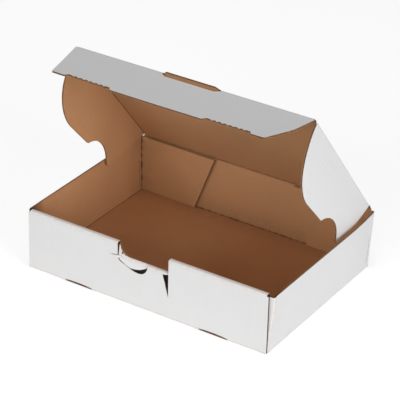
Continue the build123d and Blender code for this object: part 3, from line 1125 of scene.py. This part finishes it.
def by_ray(tree, other, seen, output):
    """End a tree in one shader for what the camera sees and another for all other light."""
    mix = node(tree, "ShaderNodeMixShader")
    tree.links.new(node(tree, "ShaderNodeLightPath").outputs["Is Camera Ray"], mix.inputs[0])
    tree.links.new(other.outputs[0], mix.inputs[1])
    tree.links.new(seen.outputs[0], mix.inputs[2])
    tree.links.new(mix.outputs[0], node(tree, output).inputs[0])


FLOOR_SIZE = 4.0
FLOOR_DROP = 0.0002     # below the box, so that the two don't share a plane
FLOOR_SEEN = 0.55       # grey of the floor under the camera's rays
FLOOR_GLOW = 0.65


def build_floor(stage):
    """Wide pale floor that shows white to the camera and keeps the shadow."""
    bpy.ops.mesh.primitive_plane_add(size=FLOOR_SIZE, location=(0, 0, -FLOOR_DROP))
    floor = bpy.context.object
    floor.name = "floor"
    material = bpy.data.materials.new("floor_paint")
    material.use_nodes = True
    tree = material.node_tree
    tree.nodes.clear()
    seen = node(tree, "ShaderNodeBsdfDiffuse", {"Color": (*[FLOOR_SEEN] * 3, 1)})
    glow = node(tree, "ShaderNodeEmission", {"Color": (1, 1, 1, 1), "Strength": FLOOR_GLOW})
    both = node(tree, "ShaderNodeAddShader")
    plain = node(tree, "ShaderNodeBsdfDiffuse", {"Color": (*stage.floor, 1)})
    tree.links.new(seen.outputs[0], both.inputs[0])
    tree.links.new(glow.outputs[0], both.inputs[1])
    by_ray(tree, plain, both, "ShaderNodeOutputMaterial")
    floor.data.materials.append(material)


def build_world(stage):
    """Even light all round, white to the camera."""
    world = bpy.data.worlds.new("studio")
    bpy.context.scene.world = world
    world.use_nodes = True
    tree = world.node_tree
    tree.nodes.clear()
    room = node(tree, "ShaderNodeBackground", {"Color": (1, 1, 1, 1), "Strength": stage.ambient})
    backdrop = node(tree, "ShaderNodeBackground", {"Color": (1, 1, 1, 1)})
    by_ray(tree, room, backdrop, "ShaderNodeOutputWorld")


LAMPS = (       # name, place, size and power
    ("front_left_lamp", (-1.3, -2.2, 0.75), 1.4, 16.0),
    ("front_lamp", (0.3, -2.5, 1.0), 1.4, 14.5),
    ("right_lamp", (2.3, -0.8, 0.55), 1.1, 34.0),
    ("top_lamp", (0.2, -0.3, 2.6), 1.4, 16.3),
)
LAMP_AIM = Vector((0, 0, 0.06))


def build_lamps():
    """Broad soft square lamps: low ones in front and at the right, and one above."""
    for name, place, size, power in LAMPS:
        data = bpy.data.lights.new(name, "AREA")
        data.size = size
        data.energy = power
        lamp = bpy.data.objects.new(name, data)
        lamp.location = place
        lamp.rotation_euler = (LAMP_AIM - Vector(place)).to_track_quat("-Z", "Y").to_euler()
        bpy.context.scene.collection.objects.link(lamp)


def build_camera(stage):
    """Camera at its angle round and above the box."""
    around, above = math.radians(stage.azimuth), math.radians(stage.elevation)
    back = Vector((math.sin(around) * math.cos(above), -math.cos(around) * math.cos(above), math.sin(above)))
    right = Vector((0, 0, 1)).cross(back).normalized()
    up = back.cross(right)
    roll = math.radians(stage.roll)
    right, up = right * math.cos(roll) + up * math.sin(roll), up * math.cos(roll) - right * math.sin(roll)
    data = bpy.data.cameras.new("camera")
    data.lens = stage.lens
    data.sensor_width = 36.0
    camera = bpy.data.objects.new("camera", data)
    aim = up * stage.aim_height
    turn = Matrix((right, up, back)).transposed().to_4x4()
    camera.matrix_world = Matrix.Translation(aim + back * stage.distance) @ turn
    bpy.context.scene.collection.objects.link(camera)
    bpy.context.scene.camera = camera


class MAILER_PT_panel(bpy.types.Panel):
    """Sidebar panel that lists the steps"""
    bl_label = "Mailer box"
    bl_idname = "MAILER_PT_panel"
    bl_space_type = "VIEW_3D"
    bl_region_type = "UI"
    bl_category = "Mailer box"

    def draw(self, context):
        for step in STEPS:
            self.layout.operator(step.bl_idname)


STEPS = (
    MAILER_OT_tray, MAILER_OT_lid, MAILER_OT_tuck_flap, MAILER_OT_ears, MAILER_OT_creases, MAILER_OT_stage)
SETTINGS = (MailerBoard, MailerShape, MailerStage)


def register():
    for cls in SETTINGS + STEPS + (MAILER_PT_panel,):
        bpy.utils.register_class(cls)
    bpy.types.Scene.mailer_board = PointerProperty(type=MailerBoard)
    bpy.types.Scene.mailer_shape = PointerProperty(type=MailerShape)
    bpy.types.Scene.mailer_stage = PointerProperty(type=MailerStage)


def unregister():
    del bpy.types.Scene.mailer_stage
    del bpy.types.Scene.mailer_shape
    del bpy.types.Scene.mailer_board
    for cls in reversed(SETTINGS + STEPS + (MAILER_PT_panel,)):
        bpy.utils.unregister_class(cls)


def main():
    """Build everything in order."""
    register()
    bpy.ops.mailer.tray()
    bpy.ops.mailer.lid()
    bpy.ops.mailer.tuck_flap()
    bpy.ops.mailer.ears()
    bpy.ops.mailer.creases()
    bpy.ops.mailer.stage()


if __name__ == "__main__":
    main()
